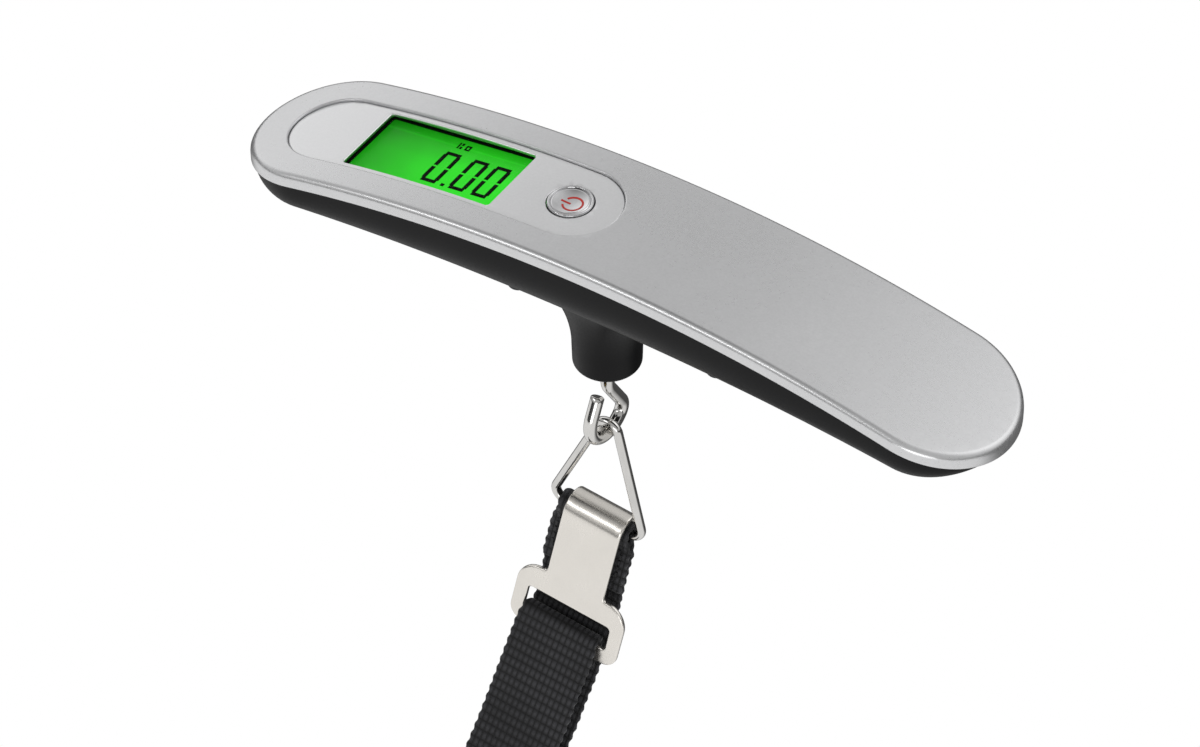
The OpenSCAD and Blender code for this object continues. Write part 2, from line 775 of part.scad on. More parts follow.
module housing_screws() {
  color([0.3, 0.3, 0.32]) for (p = screw_spots) translate([p[0], p[1], seat_level(p)]) {
    difference() {
      translate([0, 0, -1.6]) cylinder(d = 4.2, h = 1.6);
      for (a = [0, 90]) rotate([0, 0, a]) translate([-1.2, -0.25, -1.7]) cube([2.4, 0.5, 0.9]);
    }
    cylinder(d = 2.2, h = post_split(p) - seat_level(p) + 2);
  }
}

top_cover();
display_panel();
display_window();
lcd_glass();
lcd_digits();
backlight();
lcd_frame();
lcd_connector();
circuit_board();
board_chips();
tact_switch();
board_screws();
power_button();
power_symbol();
switch_plunger();
lower_housing();
neck_bush();
load_cell();
strain_gauges();
load_cell_screws();
load_cell_wires();
hook();
hook_washer();
hook_nut();
strap_ring();
strap_clip();
strap();
strap_stitching();
coin_cell();
battery_contact_plus();
battery_contact_minus();
battery_leads();
battery_door();
housing_screws();
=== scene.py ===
import json
import math
import bpy
import bmesh
import numpy as np
from mathutils import Matrix, Vector, geometry


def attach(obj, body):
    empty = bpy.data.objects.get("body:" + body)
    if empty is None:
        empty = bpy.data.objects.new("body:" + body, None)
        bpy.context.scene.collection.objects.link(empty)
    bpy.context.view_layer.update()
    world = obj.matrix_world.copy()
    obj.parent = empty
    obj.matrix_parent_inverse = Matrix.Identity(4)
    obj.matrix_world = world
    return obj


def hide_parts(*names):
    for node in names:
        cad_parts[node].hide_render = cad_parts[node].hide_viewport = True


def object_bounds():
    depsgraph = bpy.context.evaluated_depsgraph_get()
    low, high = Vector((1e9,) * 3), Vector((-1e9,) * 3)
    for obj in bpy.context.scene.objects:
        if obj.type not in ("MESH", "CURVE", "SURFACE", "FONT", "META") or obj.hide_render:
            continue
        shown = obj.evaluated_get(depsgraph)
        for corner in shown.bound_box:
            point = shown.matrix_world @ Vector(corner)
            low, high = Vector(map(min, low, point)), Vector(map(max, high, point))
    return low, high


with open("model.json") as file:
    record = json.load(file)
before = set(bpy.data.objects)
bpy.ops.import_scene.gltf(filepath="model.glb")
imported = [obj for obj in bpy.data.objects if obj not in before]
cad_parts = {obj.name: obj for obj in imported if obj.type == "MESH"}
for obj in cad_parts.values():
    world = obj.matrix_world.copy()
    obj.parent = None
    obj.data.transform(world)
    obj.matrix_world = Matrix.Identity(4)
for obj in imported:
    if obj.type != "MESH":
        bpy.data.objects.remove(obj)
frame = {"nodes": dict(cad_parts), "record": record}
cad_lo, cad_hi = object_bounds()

# All sizes below are in millimetres, as in the CAD source; meshes are written in metres.
MM = 0.001
ARCH_R = 307.0
BODY_L, BODY_W = 170.0, 34.0
PANEL_L, PANEL_W, PANEL_MID, PANEL_SINK = 75.2, 19.9, -39.6, 0.55
WINDOW_L, WINDOW_W, WINDOW_X = 34.2, 17.2, -43.0
BUTTON_X, BUTTON_D = -12.5, 9.6
NECK_X = -4.3
HOOK_WIRE, RING_WIRE = 2.8, 2.0
RING_DROP, RING_HALF, HANG_TILT, LEAN = 25.8, 18.5, 6.0, 14.0
CLIP_T, CLIP_SHIFT, FOLD_R, CLIP_NECK, CLIP_W = 1.1, 0.7, 2.9, 13.6, 26.0
SLOT_TOP, SLOT_H, SLOT_W, SHOULDER, CLIP_BAR = -21.2, 5.4, 19.8, 5.5, 3.6
STRAP_W, STRAP_T, LOOP_R, FRONT_LEAN, CURVE = 19.4, 1.2, 18.0, 28.0, 18.0


def sind(a):
    return math.sin(math.radians(a))


def cosd(a):
    return math.cos(math.radians(a))


def arch(x, depth=0.0):
    return math.sqrt((ARCH_R - depth) ** 2 - x * x) - ARCH_R


# ---------------------------------------------------------------- meshes

def make(name, verts, faces, body, material, smooth=True, weighted=False, uvs=None):
    """A mesh object from millimetre points, welded, facing out, riding on a body."""
    me = bpy.data.meshes.new(name)
    me.from_pydata([tuple(float(c) * MM for c in v) for v in verts], [], faces)
    if uvs is not None:
        layer = me.uv_layers.new(name="weave")
        for loop in me.loops:
            layer.data[loop.index].uv = uvs[loop.vertex_index]
    bm = bmesh.new()
    bm.from_mesh(me)
    bmesh.ops.remove_doubles(bm, verts=bm.verts, dist=1e-6)
    bmesh.ops.recalc_face_normals(bm, faces=bm.faces)
    bm.to_mesh(me)
    bm.free()
    for p in me.polygons:
        p.use_smooth = smooth
    ob = bpy.data.objects.new(name, me)
    bpy.context.scene.collection.objects.link(ob)
    me.materials.append(material)
    if weighted:
        mod = ob.modifiers.new("weighted", "WEIGHTED_NORMAL")
        mod.weight = 80
    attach(ob, body)
    return ob


def inside(poly, pts):
    x, y = pts[:, 0], pts[:, 1]
    res = np.zeros(len(pts), bool)
    for (x0, y0), (x1, y1) in zip(poly, np.roll(poly, -1, axis=0)):
        if y0 != y1:
            res ^= ((y0 > y) != (y1 > y)) & (x < (x1 - x0) * (y - y0) / (y1 - y0) + x0)
    return res


def offset(loop, d):
    """The closed loop moved by d to its left, which is the material's side."""
    nxt, prv = np.roll(loop, -1, axis=0), np.roll(loop, 1, axis=0)
    t = nxt - prv
    t /= np.linalg.norm(t, axis=1)[:, None]
    return loop + d * np.column_stack([-t[:, 1], t[:, 0]])


def fill(loops, step):
    """Triangles over the region left of all the loops, with a grid of points inside."""
    lo, hi = loops[0].min(0), loops[0].max(0)
    gx = np.arange(lo[0] + step[0] / 2, hi[0], step[0])
    gy = np.arange(lo[1] + step[1] / 2, hi[1], step[1])
    grid = np.array([(x, y) for x in gx for y in gy])
    keep = inside(loops[0], grid)
    for h in loops[1:]:
        keep &= ~inside(h, grid)
    for h in loops:
        near = np.full(len(grid), 1e9)
        for p in h:
            near = np.minimum(near, np.hypot(*(grid - p).T))
        keep &= near > 0.55 * min(step)
    grid = grid[keep]
    pts, edges = [], []
    for h in loops:
        base = len(pts)
        pts += [tuple(p) for p in h]
        edges += [(base + i, base + (i + 1) % len(h)) for i in range(len(h))]
    pts += [tuple(p) for p in grid]
    out = geometry.delaunay_2d_cdt([Vector(p) for p in pts], edges, [], 0, 1e-7)
    v = np.array([tuple(p) for p in out[0]])
    tris = [t for t in out[2] if len(t) == 3]
    c = np.array([v[list(t)].mean(0) for t in tris])
    ok = inside(loops[0], c)
    for h in loops[1:]:
        ok &= ~inside(h, c)
    return v, [tuple(t) for t, k in zip(tris, ok) if k]


def plate(name, loops, profiles, step, place, body, material):
    """A plate with holes. Each loop has a profile of (inset, height) from its top edge to its
    bottom edge; loops run with the material on their left."""
    verts, faces = [], []
    for end in (0, -1):
        edge = [offset(l, p[end][0]) for l, p in zip(loops, profiles)]
        v, tris = fill(edge, step)
        base = len(verts)
        verts += [place(x, y, profiles[0][end][1]) for x, y in v]
        faces += [tuple(base + i for i in (t if end == 0 else t[::-1])) for t in tris]
    for l, prof in zip(loops, profiles):
        n = len(l)
        base = len(verts)
        for inset, h in prof:
            verts += [place(x, y, h) for x, y in offset(l, inset)]
        for k in range(len(prof) - 1):
            a, b = base + k * n, base + (k + 1) * n
            faces += [(a + i, b + i, b + (i + 1) % n, a + (i + 1) % n) for i in range(n)]
    return make(name, verts, faces, body, material, weighted=True)


def obround(length, width, cx, n_arc=48, run=2.0, hole=False):
    hs, r = (length - width) / 2, width / 2
    n = max(2, int(round(2 * hs / run)))
    right_arc = np.linspace(-math.pi / 2, math.pi / 2, n_arc + 1)
    left_arc = np.linspace(math.pi / 2, 1.5 * math.pi, n_arc + 1)
    pts = [(cx + hs + r * math.cos(a), r * math.sin(a)) for a in right_arc]
    pts += [(cx + hs - 2 * hs * i / n, r) for i in range(1, n)]
    pts += [(cx - hs + r * math.cos(a), r * math.sin(a)) for a in left_arc]
    pts += [(cx - hs + 2 * hs * i / n, -r) for i in range(1, n)]
    pts = np.array(pts)
    return pts[::-1] if hole else pts


def rounded(corners, per=8, run=1.5):
    """A closed outline from (x, y, radius) corners, with each straight side divided."""
    c = np.array([p[:2] for p in corners], float)
    pts = []
    ends = []
    for i, (x, y, r) in enumerate(corners):
        p, a, b = c[i], c[i - 1], c[(i + 1) % len(c)]
        u, v = (a - p) / np.linalg.norm(a - p), (b - p) / np.linalg.norm(b - p)
        ang = math.acos(max(-1, min(1, float(u @ v))))
        cut = r / math.tan(ang / 2)
        mid = p + (u + v) / np.linalg.norm(u + v) * r / math.sin(ang / 2)
        s, e = p + u * cut - mid, p + v * cut - mid
        a0, a1 = math.atan2(s[1], s[0]), math.atan2(e[1], e[0])
        da = (a1 - a0 + math.pi) % (2 * math.pi) - math.pi
        turns = [a0 + da * k / per for k in range(per + 1)]
        ends.append([mid + r * np.array([math.cos(t), math.sin(t)]) for t in turns])
    for i, arc in enumerate(ends):
        pts += arc
        nxt = ends[(i + 1) % len(ends)][0]
        gap = np.linalg.norm(nxt - arc[-1])
        n = max(1, int(round(gap / run)))
        pts += [arc[-1] + (nxt - arc[-1]) * k / n for k in range(1, n)]
    return np.array(pts)


def round_edge(r, top, steps=5):
    """Profile points of a rounded top edge of radius r, ending on the wall."""
    return [(r * (1 - math.sin(a)), top - r * (1 - math.cos(a))) for a in np.linspace(0, math.pi / 2, steps)]


def turtle(steps, fine=0.5):
    """Points of a plane path of [run, bend, radius], with headings and a tag for each run and bend, from
    heading -z.
    """
    p, phi = np.array([0.0, 0.0]), -90.0
    pts, head, tag = [p.copy()], [phi], [0]
    for k, (run, bend, r) in enumerate(steps):
        d = np.array([cosd(phi), sind(phi)])
        n = max(1, int(math.ceil(run / fine)))
        for i in range(1, n + 1):
            pts.append(p + d * run * i / n)
            head.append(phi)
            tag.append(2 * k)
        p = p + d * run
        if bend:
            sgn = 1 if bend > 0 else -1
            side = np.array([-d[1], d[0]]) * sgn
            c = p + side * r
            n = max(4, int(math.ceil(abs(math.radians(bend)) * r / (fine * 0.5))))
            for i in range(1, n + 1):
                a = phi + bend * i / n
                pts.append(c - r * sgn * np.array([-sind(a), cosd(a)]))
                head.append(a)
                tag.append(2 * k + 1)
            p, phi = pts[-1].copy(), phi + bend
    keep = [0] + [i for i in range(1, len(pts)) if np.linalg.norm(pts[i] - pts[i - 1]) > 1e-5]
    return np.array(pts)[keep], np.array(head)[keep], np.array(tag)[keep]


def tube(name, pts, heads, d, place, closed, body, material, sides=40, ends=0.15):
    """A round wire along a plane path of (y, z) points."""
    verts, faces, rings = [], [], []
    path = [(p, h, d / 2) for p, h in zip(pts, heads)]
    if not closed:
        u0, u1 = (np.array([cosd(h), sind(h)]) for h in (heads[0], heads[-1]))
        path = ([(pts[0], heads[0], r) for r in (0.02, d * 0.25, d / 2 - ends)]
                + [(pts[0] + u0 * ends, heads[0], d / 2)] + path[2:-2]
                + [(pts[-1] - u1 * ends, heads[-1], d / 2)]
                + [(pts[-1], heads[-1], r) for r in (d / 2 - ends, d * 0.25, 0.02)])
    for p, h, r in path:
        nrm = np.array([-sind(h), cosd(h)])
        rings.append(len(verts))
        for k in range(sides):
            a = 2 * math.pi * k / sides
            q = p + nrm * r * math.sin(a)
            verts.append(place((r * math.cos(a), q[0], q[1])))
    n = len(rings)
    for i in range(n if closed else n - 1):
        a, b = rings[i], rings[(i + 1) % n]
        faces += [(a + k, b + k, b + (k + 1) % sides, a + (k + 1) % sides) for k in range(sides)]
    if not closed:
        faces += [tuple(rings[0] + k for k in range(sides)), tuple(rings[-1] + k for k in range(sides))]
    return make(name, verts, faces, body, material, weighted=not closed)


def lathe(name, profile, place, body, material, sides=96):
    verts, faces = [], []
    for r, z in profile:
        rr = max(r, 0.001)
        turns = [2 * math.pi * k / sides for k in range(sides)]
        verts += [place((rr * math.cos(t), rr * math.sin(t), z)) for t in turns]
    for i in range(len(profile) - 1):
        a, b = i * sides, (i + 1) * sides
        faces += [(a + k, a + (k + 1) % sides, b + (k + 1) % sides, b + k) for k in range(sides)]
    faces += [tuple(range(sides)), tuple((len(profile) - 1) * sides + k for k in range(sides))]
    return make(name, verts, faces, body, material, weighted=True)


# ---------------------------------------------------------------- materials

class Finish:
    """A Principled material with helpers for procedural detail in object space."""

    def __init__(self, name, colour, rough, metal=0.0, **sockets):
        self.m = bpy.data.materials.new(name)
        self.m.use_nodes = True
        self.nt = self.m.node_tree
        self.nt.nodes.clear()
        self.out = self.add("ShaderNodeOutputMaterial")
        self.b = self.add("ShaderNodeBsdfPrincipled")
        self.nt.links.new(self.b.outputs[0], self.out.inputs[0])
        self.b.inputs["Base Color"].default_value = (*colour, 1)
        self.b.inputs["Roughness"].default_value = rough
        self.b.inputs["Metallic"].default_value = metal
        for k, v in sockets.items():
            self.b.inputs[k.replace("_", " ")].default_value = v
        self.colour, self.rough = colour, rough
        self.where = self.add("ShaderNodeTexCoord").outputs["Object"]

    def add(self, kind, **props):
        n = self.nt.nodes.new(kind)
        for k, v in props.items():
            setattr(n, k, v)
        return n

    def put(self, socket, v):
        if isinstance(v, bpy.types.NodeSocket):
            self.nt.links.new(v, socket)
        else:
            socket.default_value = v

    def math(self, op, a, b=0.0, clamp=False):
        n = self.add("ShaderNodeMath", operation=op, use_clamp=clamp)
        self.put(n.inputs[0], a)
        self.put(n.inputs[1], b)
        return n.outputs[0]

    def scaled(self, s):
        n = self.add("ShaderNodeMapping")
        self.nt.links.new(self.where, n.inputs["Vector"])
        n.inputs["Scale"].default_value = s
        return n.outputs[0]

    def noise(self, size_mm, detail=2.0, rough=0.5, stretch=(1, 1, 1)):
        n = self.add("ShaderNodeTexNoise")
        self.nt.links.new(self.scaled(tuple(1000.0 / size_mm * s for s in stretch)), n.inputs["Vector"])
        n.inputs["Scale"].default_value = 1.0
        n.inputs["Detail"].default_value = detail
        n.inputs["Roughness"].default_value = rough
        return n.outputs["Fac"]

    def spread(self, fac, lo, hi, a=0.3, b=0.7):
        n = self.add("ShaderNodeMapRange")
        for s, v in zip(("Value", "From Min", "From Max", "To Min", "To Max"), (fac, a, b, lo, hi)):
            self.put(n.inputs[s], v)
        return n.outputs[0]

    def blend(self, fac, a, b):
        n = self.add("ShaderNodeMix", data_type="RGBA")
        self.put(n.inputs[0], fac)
        for s, v in ((6, a), (7, b)):
            self.put(n.inputs[s], (*v, 1) if isinstance(v, tuple) else v)
        return n.outputs[2]

    def bump(self, height, depth_mm, strength=1.0):
        n = self.add("ShaderNodeBump")
        self.put(n.inputs["Height"], height)
        n.inputs["Distance"].default_value = depth_mm * MM
        n.inputs["Strength"].default_value = strength
        prev = self.b.inputs["Normal"]
        if prev.is_linked:
            self.nt.links.new(prev.links[0].from_socket, n.inputs["Normal"])
        self.nt.links.new(n.outputs[0], prev)

    def vary(self, size_mm, colour=0.06, rough=0.05, depth_mm=0.0, stretch=(1, 1, 1), detail=3.0):
        """Mottles the colour and roughness at one size, with an optional bump."""
        f = self.noise(size_mm, detail, stretch=stretch)
        src = self.b.inputs["Base Color"]
        c0 = src.links[0].from_socket if src.is_linked else tuple(self.colour)
        dark = self.add("ShaderNodeMix", data_type="RGBA", blend_type="MULTIPLY")
        dark.inputs[0].default_value = 1.0
        self.put(dark.inputs[6], (*c0, 1) if isinstance(c0, tuple) else c0)
        self.put(dark.inputs[7], self.spread(f, 1 - colour, 1 + colour))
        self.put(src, dark.outputs[2])
        rs = self.b.inputs["Roughness"]
        if rough:
            if rs.is_linked:
                self.put(rs, self.math("ADD", rs.links[0].from_socket, self.spread(f, -rough, rough)))
            else:
                self.put(rs, self.spread(f, max(0.02, self.rough - rough), min(1.0, self.rough + rough)))
        if depth_mm:
            self.bump(f, depth_mm)
        return self


def satin_silver():
    f = Finish("satin_silver_paint", (0.72, 0.722, 0.73), 0.29, 0.8)
    f.vary(30, 0.02, 0.02).vary(0.5, 0.025, 0.015, 0.0008, detail=2.0).vary(1.3, 0.015, 0.01)
    return f.m


def panel_silver():
    f = Finish("panel_silver_paint", (0.84, 0.842, 0.85), 0.31, 0.72)
    f.vary(25, 0.02, 0.02).vary(0.5, 0.02, 0.015, 0.0006, detail=2.0)
    return f.m


def nickel(name="bright_nickel", rough=0.1, colour=(0.70, 0.69, 0.67)):
    f = Finish(name, colour, rough, 1.0)
    f.vary(6, 0.05, 0.03).vary(0.7, 0.03, 0.02, 0.001, stretch=(1, 1, 0.25))
    return f.m


def clip_nickel():
    f = Finish("satin_nickel_plate", (0.86, 0.825, 0.77), 0.26, 0.97)
    f.vary(9, 0.03, 0.03).vary(0.8, 0.012, 0.01, stretch=(2, 2, 0.3))
    return f.m


def moulded(name, colour, rough=0.42, grain=0.35):
    f = Finish(name, colour, rough, 0.0, Specular_IOR_Level=0.14)
    f.vary(18, 0.12, 0.05).vary(grain, 0.12, 0.05, 0.01, detail=2.0)
    return f.m


def lcd_green():
    f = Finish("lcd_backlit_green", (0.004, 0.05, 0.004), 0.35, Specular_IOR_Level=0.15)
    sep = f.add("ShaderNodeSeparateXYZ")
    f.nt.links.new(f.where, sep.inputs[0])
    x, y = sep.outputs[0], sep.outputs[1]
    # Painted shade: the backlit glow is darkened towards the window's left and far edges, where the window's
    # edge shades the display.
    shade_from_left = f.spread(x, 0.0, 1.0, -0.0605, -0.040)
    shade_from_far = f.spread(y, 1.0, 0.0, 0.0005, 0.0092)
    side = f.math("POWER", shade_from_left, 0.75)
    far_edge_shade = f.math("ADD", f.math("MULTIPLY", f.math("POWER", shade_from_far, 0.8), 0.62), 0.38)
    level = f.math("MULTIPLY", f.math("ADD", f.math("MULTIPLY", side, 0.72), 0.28), far_edge_shade)
    # Painted highlight: a lighter line along the display's far edge.
    highlight_line = f.math("LESS_THAN", f.math("ABSOLUTE", f.math("SUBTRACT", y, 0.0066)), 0.00022)
    level = f.math("ADD", level, f.math("MULTIPLY", highlight_line, 0.10))
    level = f.math("MULTIPLY", level, f.spread(f.noise(5), 0.93, 1.05))
    c = f.blend(level, (0.0, 0.03, 0.0), (0.022, 0.72, 0.014))
    f.put(f.b.inputs["Emission Color"], c)
    f.b.inputs["Emission Strength"].default_value = 1.0
    return f.m


def webbing():
    """Nylon webbing: rows of ribs across the strap, drawn along its own length and width in millimetres,
    with a painted highlight on the rib crowns and painted shade in the gaps between them.
    """
    f = Finish("woven_nylon_webbing", (0.020, 0.020, 0.023), 0.62, 0.0,
               Sheen_Weight=0.1, Sheen_Roughness=0.5, Specular_IOR_Level=0.3)
    uv = f.add("ShaderNodeUVMap", uv_map="weave")
    sep = f.add("ShaderNodeSeparateXYZ")
    f.nt.links.new(uv.outputs[0], sep.inputs[0])
    u, v = sep.outputs[0], sep.outputs[1]
    col = f.math("DIVIDE", v, 1.22)
    row = f.math("DIVIDE", u, 2.0)
    cu = f.math("ABSOLUTE", f.math("SUBTRACT", f.math("FRACT", row), 0.5))
    cv = f.math("ABSOLUTE", f.math("SUBTRACT", f.math("FRACT", col), 0.5))
    hu = f.math("SUBTRACT", 1.0, f.math("POWER", f.math("MULTIPLY", cu, 2.0), 1.4))
    hv = f.math("SUBTRACT", 1.0, f.math("POWER", f.math("MULTIPLY", cv, 2.0), 1.6))
    rib = f.math("POWER", f.math("MULTIPLY", hu, hv, clamp=True), 0.8)
    thread = f.math("SINE", f.math("MULTIPLY", v, 2 * math.pi / 0.3))
    fibre = f.noise(0.25, 2.0)
    height = f.math("ADD", rib, f.math("MULTIPLY", f.math("ADD", thread, fibre), 0.06))
    # Painted highlight and shade: the base colour follows the rib height, lighter on the crowns and darker
    # in the gaps, and a large noise varies its strength at random.
    wear_and_sheen = f.noise(14, 3.0)
    rib_highlight_and_shade = f.math("MULTIPLY", rib, f.spread(wear_and_sheen, 0.65, 1.25))
    f.put(f.b.inputs["Base Color"], f.blend(rib_highlight_and_shade, (0.001, 0.001, 0.0013), (0.045, 0.045, 0.05)))
    f.put(f.b.inputs["Roughness"], f.spread(fibre, 0.5, 0.75))
    f.bump(height, 0.28)
    return f.m


def window_clear():
    f = Finish("clear_window_pane", (0.02, 0.05, 0.02), 0.04, 0.0, Alpha=0.02, Specular_IOR_Level=0.1)
    f.vary(8, 0.02, 0.02)
    return f.m


def simple(name, colour, rough, metal=0.0, size=2.0, amount=0.08, depth=0.0, spec=0.5):
    f = Finish(name, colour, rough, metal, Specular_IOR_Level=spec)
    f.vary(size, amount, min(0.06, rough * 0.4), depth).vary(size * 6, amount * 0.6, 0.02)
    return f.m


SLOTS = {
    "satin_silver": satin_silver(),
    "panel_silver": panel_silver(),
    "clear_window": window_clear(),
    "lcd_green": lcd_green(),
    "lcd_ink": simple("lcd_ink", (0.001, 0.003, 0.001), 0.5, 0, 0.6, spec=0.05),
    "light_guide": simple("light_guide", (0.75, 0.9, 0.7), 0.3, 0, 3),
    "white_plastic": simple("white_plastic", (0.75, 0.75, 0.72), 0.45, 0, 1.5, 0.05, 0.01),
    "elastomer": simple("elastomer", (0.05, 0.05, 0.055), 0.7, 0, 0.4),
    "gasket_foam": simple("gasket_foam", (0.002, 0.003, 0.002), 0.8, 0, 0.4, spec=0.05),
    "board_green": simple("board_green", (0.012, 0.11, 0.04), 0.35, 0, 1.2, 0.2),
    "chip_black": simple("chip_black", (0.015, 0.015, 0.016), 0.5, 0, 0.5),
    "switch_metal": simple("switch_metal", (0.62, 0.62, 0.63), 0.3, 0.9, 0.8),
    "zinc_screw": simple("zinc_screw", (0.6, 0.6, 0.62), 0.32, 1.0, 0.7),
    "chrome": nickel("polished_chrome", 0.07, (0.72, 0.72, 0.73)),
    "red_print": simple("red_print", (0.62, 0.03, 0.02), 0.45, 0, 0.4),
    "black_plastic": moulded("black_moulded_plastic", (0.0032, 0.0032, 0.0036)),
    "brass_bush": simple("brass_bush", (0.62, 0.44, 0.18), 0.3, 1.0, 1.0),
    "aluminium_beam": simple("aluminium_beam", (0.6, 0.6, 0.61), 0.35, 1.0, 0.8),
    "gauge_foil": simple("gauge_foil", (0.45, 0.26, 0.08), 0.4, 0.3, 0.5),
    "wire_red": simple("wire_red", (0.4, 0.02, 0.02), 0.45, 0, 0.8),
    "nickel_wire": nickel(),
    "nickel_plate": clip_nickel(),
    "webbing": webbing(),
    "thread": simple("thread", (0.02, 0.02, 0.022), 0.6, 0, 0.15, 0.3, 0.03),
    "cell_steel": simple("cell_steel", (0.6, 0.6, 0.6), 0.25, 1.0, 1.2),
    "spring_contact": simple("spring_contact", (0.66, 0.6, 0.45), 0.25, 1.0, 0.8),
    "black_screw": simple("black_screw", (0.03, 0.03, 0.032), 0.35, 0.8, 0.6),
}
for sub in frame["record"]["subparts"]:
    for s in frame["nodes"][sub["node"]].material_slots:
        s.material = SLOTS[sub["material_slot"]]

# ---------------------------------------------------------------- top cover and panel

on_curve = lambda x, y, h: (x, y, arch(x, -h))
outer = obround(BODY_L, BODY_W, 0, 96, 2.0)
pocket = obround(PANEL_L + 0.2, PANEL_W + 0.2, PANEL_MID, 64, 2.0, hole=True)
edge = round_edge(1.35, 0.0, 7)
cover = plate("cover_shell", [outer, pocket],
              [edge + [(0, -2.2), (0, -2.8), (0.05, -2.95), (0.2, -3.0),
                       (1.7, -3.0), (1.8, -2.9), (1.8, -2.2)],
               [(0.35, 0), (0.2, -0.03), (0.07, -0.12), (0, -0.3), (0, -1.4), (0, -2.2)]],
              (2.4, 3.0), on_curve, "housing", SLOTS["satin_silver"])
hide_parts("top_cover")

window = rounded([(WINDOW_X + sx * WINDOW_L / 2, sy * WINDOW_W / 2, 0.7) for sx, sy in
                  ((-1, -1), (-1, 1), (1, 1), (1, -1))], 6, 1.5)
button_loop = obround(BUTTON_D + 1e-4, BUTTON_D, BUTTON_X, 40, 1.0, hole=True)
plan = obround(PANEL_L, PANEL_W, PANEL_MID, 64, 2.0)
s0 = -PANEL_SINK
panel = plate("display_bezel", [plan, window, button_loop],
              [[(0.3, s0), (0.1, s0 - 0.06), (0, s0 - 0.2), (0, -1.25)],
               [(0.22, s0), (0.15, s0 - 0.03), (0.03, s0 - 0.14), (0, s0 - 0.2), (0, -1.25)],
               [(0.16, s0), (0.1, s0 - 0.02), (0.02, s0 - 0.1), (0, s0 - 0.15), (0, -1.25)]],
              (2.0, 2.4), on_curve, "housing", SLOTS["panel_silver"])
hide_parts("display_panel")

def on_arch(x):
    a = math.asin(x / ARCH_R)
    def f(p):
        z = p[2] + ARCH_R
        return (p[0] * math.cos(a) + z * math.sin(a), p[1], -p[0] * math.sin(a) + z * math.cos(a) - ARCH_R)
    return f


def frame_corners(grow, r):
    corners = ((-1, -1), (1, -1), (1, 1), (-1, 1))
    return [(sx * (WINDOW_L / 2 + grow), sy * (WINDOW_W / 2 + grow), r) for sx, sy in corners]


at_lcd = on_arch(WINDOW_X)
gasket_loops = [rounded(frame_corners(0.9, 1.2), 6, 1.5), rounded(frame_corners(0.25, 0.5), 6, 1.5)[::-1]]
plate("display_gasket", gasket_loops, [[(0.1, -2.25), (0, -2.32), (0, -2.7)]] * 2, (1.5, 1.5),
      lambda x, y, h: at_lcd((x, y, h)), "housing", SLOTS["gasket_foam"])

# ---------------------------------------------------------------- lower housing with its neck

HALF, INSET, NECK_LOW = (BODY_L - BODY_W) / 2, 0.7, -38.3
END_R = BODY_W / 2 - INSET


xs = [-HALF - END_R * math.cos(t) for t in np.linspace(0.03, math.pi / 2, 24)]
xs += list(np.arange(-HALF + 1.2, -22, 1.2))
xs += list(np.arange(-22, 14, 0.5))
xs += list(np.arange(14, HALF - 0.5, 1.2))
xs += [HALF + END_R * math.sin(t) for t in np.linspace(0, math.pi / 2 - 0.03, 24)]
ROUND, LOW, WALL, FLOOR_T, COVER_T = 84, 3.7, 1.6, 1.8, 3.0
theta = np.linspace(0, math.pi, 600)
dense_c = np.sign(np.cos(theta)) * np.abs(np.cos(theta)) ** (2 / LOW)
dense_s = np.abs(np.sin(theta)) ** (2 / LOW)


def section(w, depth, x):
    """Points of the underside's section at x, evenly spaced."""
    y, z = w * dense_c, -depth * dense_s
    run = np.concatenate([[0], np.cumsum(np.hypot(np.diff(y), np.diff(z)))])
    at_run = np.linspace(0, run[-1], ROUND + 1)
    top = arch(x) - COVER_T
    return [(x, yy, top + zz) for yy, zz in zip(np.interp(at_run, run, y), np.interp(at_run, run, z))]


verts, faces = [], []
for x in xs:
    over = max(0.0, abs(x) - HALF)
    w = math.sqrt(max(0.0, END_R ** 2 - over ** 2))
    depth = (14.0 - 5.7 * (x / 75) ** 2) * (w / END_R) ** 1.9
    verts += section(w, depth, x)
    verts += section(max(w - WALL, 0.3 * w), max(depth - FLOOR_T, 0.3 * depth), x)[::-1]
n_ring = 2 * (ROUND + 1)
for i in range(len(xs) - 1):
    a, b = i * n_ring, (i + 1) * n_ring
    faces += [(a + k, b + k, b + (k + 1) % n_ring, a + (k + 1) % n_ring) for k in range(n_ring)]
for a in (0, (len(xs) - 1) * n_ring):
    faces += [(a + k, a + k + 1, a + n_ring - 2 - k, a + n_ring - 1 - k) for k in range(ROUND)]
shell = make("housing_shell", verts, faces, "housing", SLOTS["black_plastic"])


BELLY_R, BELLY_DEPTH = 800.0, 17.0


def on_belly(x0):
    a = math.asin(x0 / BELLY_R)
    def f(p):
        z = p[2] + BELLY_R
        return (p[0] * math.cos(a) + z * math.sin(a), p[1],
                -p[0] * math.sin(a) + z * math.cos(a) - BELLY_R - BELLY_DEPTH)
    return f


# Screw recesses and the opening of the battery door are cut out of the shell.
cuts_v, cuts_f = [], []
RECESS_R = 2.3
for sx, sy in ((-72, 0), (72, 0), (-17, 11.6), (-17, -11.6), (28, 11.6), (28, -11.6)):
    base = len(cuts_v)
    seat = -17.0 - sx * sx / 1600.0 + (3.2 if sy == 0 else 3.6)
    for zc in (-40.0, seat):
        turns = [2 * math.pi * k / 40 for k in range(40)]
        cuts_v += [(sx + RECESS_R * math.cos(t), sy + RECESS_R * math.sin(t), zc) for t in turns]
    cuts_f += [(base + k, base + (k + 1) % 40, base + 40 + (k + 1) % 40, base + 40 + k) for k in range(40)]
    cuts_f += [tuple(base + k for k in range(39, -1, -1)), tuple(base + 40 + k for k in range(40))]
door = on_belly(45.0)
base = len(cuts_v)
DOOR_HALF_L, DOOR_HALF_W = 14.15, 11.65
door_corners = ((-1, -1), (1, -1), (1, 1), (-1, 1))
